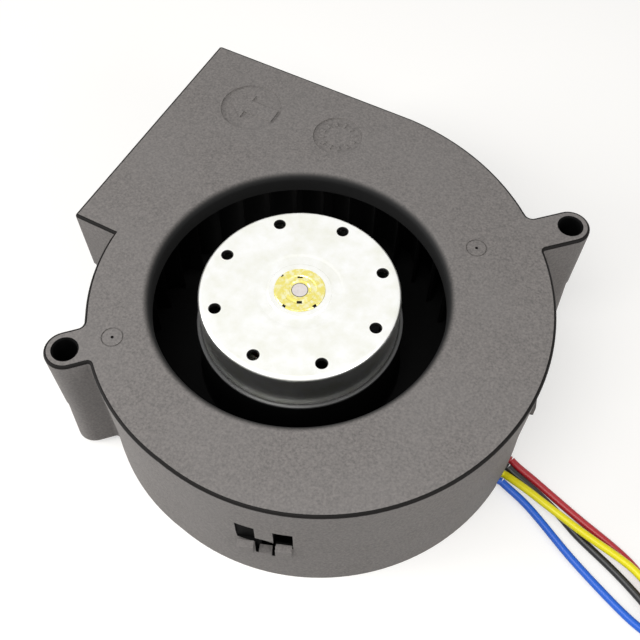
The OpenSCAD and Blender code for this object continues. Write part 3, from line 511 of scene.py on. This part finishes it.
# ---- Lower half: the same plastic, set in a quarter of a millimetre under the cover ----
# Its ears end as round posts above the foot, and a channel in its floor leads the wires out.
step = 0.25
form = bmesh.new()
outline, spans = housing_outline(step)
corners, low_ring = loop(form, outline, 2)
top_ring = loop(form, housing_outline(step + 0.4)[0], split_z)[1]
bmesh.ops.bridge_loops(form, edges=low_ring + top_ring)
for end in (low_ring, top_ring):
    bmesh.ops.contextual_create(form, geom=end)
bmesh.ops.recalc_face_normals(form, faces=form.faces)
foot = next(f for f in form.faces if len(f.verts) > 9 and f.calc_center_median().z < 3 * MM)
for begin, end in spans:
    turns = [degrees(atan2(outline[i].y, outline[i].x)) for i in (begin, end)]
    root = [polar(wall_radius(t) - step, t) + Vector((0, 0, 2)) for t in
            (turns[0] + (turns[1] - turns[0]) * i / 6 for i in range(1, 6))]
    bmesh.utils.face_split(foot, corners[begin], corners[end], coords=[p * MM for p in root])
    foot = max((f for f in form.faces if f.normal.z < -0.9), key=lambda f: f.calc_area())
ends = [f for f in form.faces if f.normal.z < -0.9 and f is not foot]
made = bmesh.ops.extrude_face_region(form, geom=[foot])["geom"]
bmesh.ops.delete(form, geom=[foot], context="FACES_ONLY")
bmesh.ops.translate(form, verts=[v for v in made if isinstance(v, bmesh.types.BMVert)], vec=(0, 0, -2 * MM))
rims = {e for f in ends for e in f.edges if all(g.normal.z > -0.9 for g in e.link_faces if g is not f)}
rims = [e for e in rims if any(abs(g.normal.z) < 0.5 and g.calc_center_median().z > 2.1 * MM for g in e.link_faces)]
# The rounded foot and the post rims take the same painted dark edge colour, a painted dark reflection
round_edges(form, edges_at(form, 0) + rims, 0.5, 1, 3)
bmesh.ops.recalc_face_normals(form, faces=form.faces)
lower = as_object("housing_base", form, *plastics)
hollow = as_object("tool", stack((cavity, 2), (cavity, split_z + 1)), *plastics)
carve(hollow, turned([(0, 1), (6.6, 1), (6.6, 6), (0, 6)]))
carve(hollow, turned([(18.4, 1), (19.4, 1), (19.4, 5), (18.4, 5)]))
carve(hollow, block((13.1, -5.6, 1), (60, 4.2, 3.5)))
carve(lower, taken_back(hollow), finish=2)
ear_bore = [(0, 1), (ear_hole_r, 1), (ear_hole_r, 18), (0, 18)]
for turn, reach, *_ in ears:
    carve(lower, turned(ear_bore, 40, polar(reach, turn)), finish=2)
for place in latches:
    carve(lower, block((-1.7, -latch_half, -1.5), (3, latch_half, 2), place), finish=2)
    carve(lower, block((-1.7, -tab_half - 0.2, -6.6), (3, tab_half + 0.2, 2), place), finish=2)
    # The catch is a small wedge in the slot, and the cheeks on both sides stand a little proud
    carve(lower, block((-1.6, -1.2, -6.4), (0.1, 1.2, -4.6), place), "UNION")
    for side in (-1, 1):
        y = sorted((side * (tab_half + 0.3), side * (latch_half - 0.2)))
        form = block((-1, y[0], -4.5), (0.5, y[1], -1.4), place)
        round_edges(form, form.edges[:], 0.15, 0, 2)
        carve(lower, form, "UNION")
# Underside: the label's recess, the wire channel with its two straps, and ejector marks
carve(lower, turned([(0, -1), (16.7, -1), (16.55, 0.31), (0, 0.31)], 96))
carve(lower, block((14.3, -4.4, -1), (60, 3, 2.3)))
carve(lower, block((14.3, -4.4, -1), (16.7, 3, 6)))
for x in (24, 38):
    form = block((x, -4.9, 0), (x + 2.4, 3.5, 0.45))
    round_edges(form, form.edges[:], 0.1, 0, 2)
    carve(lower, form, "UNION")
for turn in (35, 80, 125, 170, -145, -100, -55):
    carve(lower, turned([(0, -1), (1.9, -1), (1.9, 0.12), (0, 0.12)], 40, polar(29, turn)))
smooth(lower)
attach(lower, "housing")
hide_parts("lower_housing")


# ---- Rotor cup: drawn steel, bright zinc plated ----
# It is a deep cup with a rolled edge, eight punched balance holes and a shallow dish
# round the pressed ring that takes the boss.
zinc, tree, shader = new_material("zinc_plated_steel", Metallic=1.0, Roughness=0.34)
place = add(tree, "ShaderNodeTexCoord", {}, {}).outputs["Object"]
blotch = add(tree, "ShaderNodeTexNoise", {}, {"Vector": place, "Scale": 1 / 0.004, "Detail": 4.0, "Roughness": 0.6})
pits = add(tree, "ShaderNodeTexNoise", {}, {"Vector": place, "Scale": 1 / 0.0005, "Detail": 1.0})
share = add(tree, "ShaderNodeMapRange", {}, {"Value": blotch.outputs["Fac"], "From Min": 0.35, "From Max": 0.7})
tone = add(tree, "ShaderNodeMix", {"data_type": "RGBA"}, {
    "Factor": share.outputs[0], 6: linear("FAFAF8"), 7: linear("EEEEE4")})
tree.links.new(tone.outputs[2], shader.inputs["Base Color"])
orange_peel = add(tree, "ShaderNodeBump", {}, {"Height": pits.outputs["Fac"], "Strength": 0.12, "Distance": 0.00002})
tree.links.new(orange_peel.outputs[0], shader.inputs["Normal"])
# Hole walls and stake dents are painted near black: painted shade inside the holes and dents, not a colour of the metal
painted_hole_shade, tree, shader = new_material("painted_shade_in_holes_and_dents", Base_Color=linear("1C1B1A"), Metallic=0.6, Roughness=0.6)

rolled = [(18.6 + cos(radians(t)), 31.6 + sin(radians(t))) for t in range(0, 91, 10)]
form = turned([
    (3.91, 31.6), (18.2, 31.6), (18.6, 31.2), (18.6, 9.6), (19.6, 9.6), *rolled, (8.9, 32.6), (8.6, 32.58),
    (8.3, 32.5), (8.1, 32.48), (6.5, 32.48), (6.28, 32.55), (6.2, 32.7), (6.05, 32.8), (4.98, 32.8),
    (4.91, 32.74), (4.91, 32.6), (3.91, 32.6)], 160)
cup = as_object("rotor_steel_cup", form, zinc, painted_hole_shade)
# The walls of the balance holes take the painted shade
for i in range(8):
    hole = turned([(0, 30), (1.1, 30), (1.1, 32.5), (1.25, 32.62), (1.25, 34), (0, 34)], 32, polar(16.6, 42.6 + 45 * i))
    carve(cup, hole, finish=1)
smooth(cup)
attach(cup, "rotor")
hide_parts("rotor_cup")


# ---- Boss and shaft end: turned brass staked to the cup round a ground steel shaft ----
brass, tree, shader = new_material("turned_brass", Metallic=1.0, Roughness=0.3)
place = add(tree, "ShaderNodeTexCoord", {}, {}).outputs["Object"]
smear = add(tree, "ShaderNodeTexNoise", {}, {"Vector": place, "Scale": 1 / 0.0011, "Detail": 3.0, "Roughness": 0.65})
share = add(tree, "ShaderNodeMapRange", {}, {"Value": smear.outputs["Fac"], "From Min": 0.45, "From Max": 0.62})
tone = add(tree, "ShaderNodeMix", {"data_type": "RGBA"}, {
    "Factor": share.outputs[0], 6: linear("EFE27C"), 7: linear("F7F3C4")})
tree.links.new(tone.outputs[2], shader.inputs["Base Color"])
form = turned([
    (1.62, 29.8), (3.9, 29.8), (3.9, 32.61), (4.9, 32.61), (4.9, 32.9), (4.8, 33), (3.3, 33), (3.15, 32.9),
    (2.85, 32.9), (2.7, 32.98), (2.1, 32.98), (1.95, 32.82), (1.62, 32.78)], 96)
boss = as_object("brass_boss", form, brass, painted_hole_shade)
# The stake dents take the painted shade
for turn, reach, size in ((-62.8, 2.9, 0.5), (117.2, 2.9, 0.5), (165, 4.75, 0.3), (-25, 4.7, 0.4), (-100, 4.8, 0.35)):
    place = Matrix.Rotation(radians(turn), 4, "Z") @ Matrix.Translation((reach * MM, 0, 33 * MM))
    carve(boss, block((-0.25, -size, -0.25), (0.25, size, 0.5), place), finish=1)
smooth(boss)
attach(boss, "rotor")
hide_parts("rotor_boss")

ground, tree, shader = new_material("ground_steel", Metallic=1.0, Roughness=0.22)
place = add(tree, "ShaderNodeTexCoord", {}, {}).outputs["Object"]
marks = add(tree, "ShaderNodeTexNoise", {}, {"Vector": place, "Scale": 1 / 0.0006, "Detail": 2.0})
tone = add(tree, "ShaderNodeMix", {"data_type": "RGBA"}, {
    "Factor": marks.outputs["Fac"], 6: linear("D8CFCB"), 7: linear("F0EAE8")})
tree.links.new(tone.outputs[2], shader.inputs["Base Color"])


def dress(finish, *names):
    """Gives CAD nodes this material."""
    for name in names:
        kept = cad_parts[name]
        if not kept.material_slots:
            kept.data.materials.append(finish)
        for place in kept.material_slots:
            place.material = finish


dress(ground, "shaft", "upper_bearing_inner", "upper_bearing_outer", "upper_bearing_balls", "lower_bearing_inner",
      "lower_bearing_outer", "lower_bearing_balls")


# ---- Impeller: one black PBT moulding, shrunk on the steel cup ----
# 33 forward-leaning blades stand on a back plate, and a ring joins their tips.
impeller_black, tree, shader = new_material("pbt_impeller_black", Roughness=0.6, IOR=1.57)
shader.inputs["Specular IOR Level"].default_value = 0.08
place = add(tree, "ShaderNodeTexCoord", {}, {}).outputs["Object"]
dust = add(tree, "ShaderNodeTexNoise", {}, {"Vector": place, "Scale": 1 / 0.002, "Detail": 3.0})
tone = add(tree, "ShaderNodeMix", {"data_type": "RGBA"}, {
    "Factor": dust.outputs["Fac"], 6: linear("040404"), 7: linear("0B0B0B")})
tree.links.new(tone.outputs[2], shader.inputs["Base Color"])
# The top of the hub ring is painted mid grey on a black impeller: a painted highlight along the ridge
ridge_painted_highlight, tree, shader = new_material("pbt_ridge_painted_highlight", Base_Color=linear("454545"), Roughness=0.3, IOR=1.57)

form = turned([(19.61, 7), (36.4, 7), (36.5, 7.1), (36.5, 8.3), (36.4, 8.4), (21.2, 8.4), (20.75, 8.9), (20.61, 9.6),
               (20.61, 23.2), (20.5, 23.5), (20.2, 23.6), (19.9, 23.55), (19.61, 23.3)], 160)
# These top faces take the painted highlight
for face in form.faces:
    if face.calc_center_median().z > 23.35 * MM:
        face.material_index = 1
bands = turned([(35.2, 27.9), (35.3, 27.8), (36.4, 27.8), (36.5, 27.9), (36.5, 29.7), (36.4, 29.8), (35.3, 29.8),
                (35.2, 29.7)], 160)
blades = 33
spare = bpy.data.meshes.new("spare")
bands.to_mesh(spare)
form.from_mesh(spare)
bands.free()
flanks = [[], []]
for i in range(9):
    share = i / 8
    reach = 30.8 + 5.4 * share
    half = 0.4 * sqrt(max(1 - abs(2 * share - 1) ** 8, 0.04))
    for flank, sign in zip(flanks, (1, -1)):
        flank.append(polar(reach, 9 * share * share + sign * degrees(half / reach)))
section = flanks[0] + flanks[1][::-1]
blade = stack((section, 8), (section, 29))
round_edges(blade, edges_at(blade, 29), 0.15, 0, 2)
blade.to_mesh(spare)
blade.free()
for i in range(blades):
    before = set(form.verts)
    form.from_mesh(spare)
    bmesh.ops.rotate(form, verts=[v for v in form.verts if v not in before], cent=(0, 0, 0),
                     matrix=Matrix.Rotation(2 * pi * i / blades, 3, "Z"))
bpy.data.meshes.remove(spare)
wheel = as_object("impeller_wheel", form, impeller_black, ridge_painted_highlight)
smooth(wheel)
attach(wheel, "rotor")
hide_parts("impeller")


# ---- Motor parts inside, kept as their solids: magnet, clip, spring, stator and circuit board ----
# Ferrite-filled rubber, spring steel, stacked sheet steel, nylon, enamelled copper and glass-epoxy.
def plain_finish(name, first, second, size, bump=0.0, **values):
    """A material whose colour varies between two hex colours in patches of this size in metres."""
    made, tree, shader = new_material(name, **values)
    place = add(tree, "ShaderNodeTexCoord", {}, {}).outputs["Object"]
    patches = add(tree, "ShaderNodeTexNoise", {}, {"Vector": place, "Scale": 1 / size, "Detail": 3.0})
    tone = add(tree, "ShaderNodeMix", {"data_type": "RGBA"}, {
        "Factor": patches.outputs["Fac"], 6: linear(first), 7: linear(second)})
    tree.links.new(tone.outputs[2], shader.inputs["Base Color"])
    if bump:
        relief = add(tree, "ShaderNodeBump", {}, {
            "Height": patches.outputs["Fac"], "Strength": bump, "Distance": size / 8})
        tree.links.new(relief.outputs[0], shader.inputs["Normal"])
    return made


def banded_finish(name, first, second, size, axis, **values):
    """A material of fine parallel lines, this far apart in metres, across the axis."""
    made, tree, shader = new_material(name, **values)
    place = add(tree, "ShaderNodeTexCoord", {}, {}).outputs["Object"]
    lines = add(tree, "ShaderNodeTexWave", {"bands_direction": axis}, {
        "Vector": place, "Scale": 0.314 / size, "Distortion": 0.4})
    tone = add(tree, "ShaderNodeMix", {"data_type": "RGBA"}, {
        "Factor": lines.outputs["Fac"], 6: linear(first), 7: linear(second)})
    tree.links.new(tone.outputs[2], shader.inputs["Base Color"])
    relief = add(tree, "ShaderNodeBump", {}, {"Height": lines.outputs["Fac"], "Strength": 0.5, "Distance": size / 3})
    tree.links.new(relief.outputs[0], shader.inputs["Normal"])
    return made


dress(plain_finish("ferrite_rubber", "161616", "202020", 0.001, 0.2, Roughness=0.65), "rotor_magnet")
dress(plain_finish("spring_steel", "4A4C50", "606368", 0.0004, Metallic=1.0, Roughness=0.35),
      "retaining_clip", "preload_spring")
dress(plain_finish("drawn_brass", "B99A4E", "CDB066", 0.002, Metallic=1.0, Roughness=0.35), "bearing_tube")
# Sheets of 0.5 mm electrical steel, one line for each
dress(banded_finish("laminated_steel", "4A4D50", "7A7D80", 0.0005, "Z", Metallic=1.0, Roughness=0.45), "stator_core")
dress(plain_finish("nylon_natural", "DDD8C8", "E8E4D8", 0.004, Roughness=0.5), "upper_insulator", "lower_insulator")
# 0.25 mm enamelled wire, drawn as turns 0.35 mm apart
dress(banded_finish("enamelled_copper_x", "8A4A20", "C87A40", 0.00035, "X", Metallic=1.0, Roughness=0.3),
      "stator_coil_1", "stator_coil_3")
dress(banded_finish("enamelled_copper_y", "8A4A20", "C87A40", 0.00035, "Y", Metallic=1.0, Roughness=0.3),
      "stator_coil_2", "stator_coil_4")
dress(plain_finish("glass_epoxy_green", "0E4A28", "16613A", 0.003, Roughness=0.4), "circuit_board")
dress(plain_finish("epoxy_mould_black", "171718", "222223", 0.0005, 0.2, Roughness=0.55),
      "driver_chip", "power_transistors", "hall_sensor")
dress(plain_finish("drawn_aluminium", "BEC0C2", "D2D4D6", 0.001, Metallic=1.0, Roughness=0.3), "filter_capacitor")
# A bare silver-grey polyester label, with the faint texture of its paper backing
dress(plain_finish("polyester_label", "C9C9C6", "D3D3D0", 0.0006, 0.15, Roughness=0.45), "rear_label")


# ---- Plug and tie at the end of the leads ----
dress(plain_finish("nylon_plug_white", "E6E3D6", "F0EEE4", 0.003, 0.05, Roughness=0.42, IOR=1.53), "connector_housing")
dress(plain_finish("tinned_bronze", "B8B4AA", "D0CCC2", 0.0008, Metallic=1.0, Roughness=0.3), "connector_terminals")
dress(plain_finish("nylon_tie_black", "101010", "1A1A1A", 0.001, 0.1, Roughness=0.45, IOR=1.53), "coil_tie")
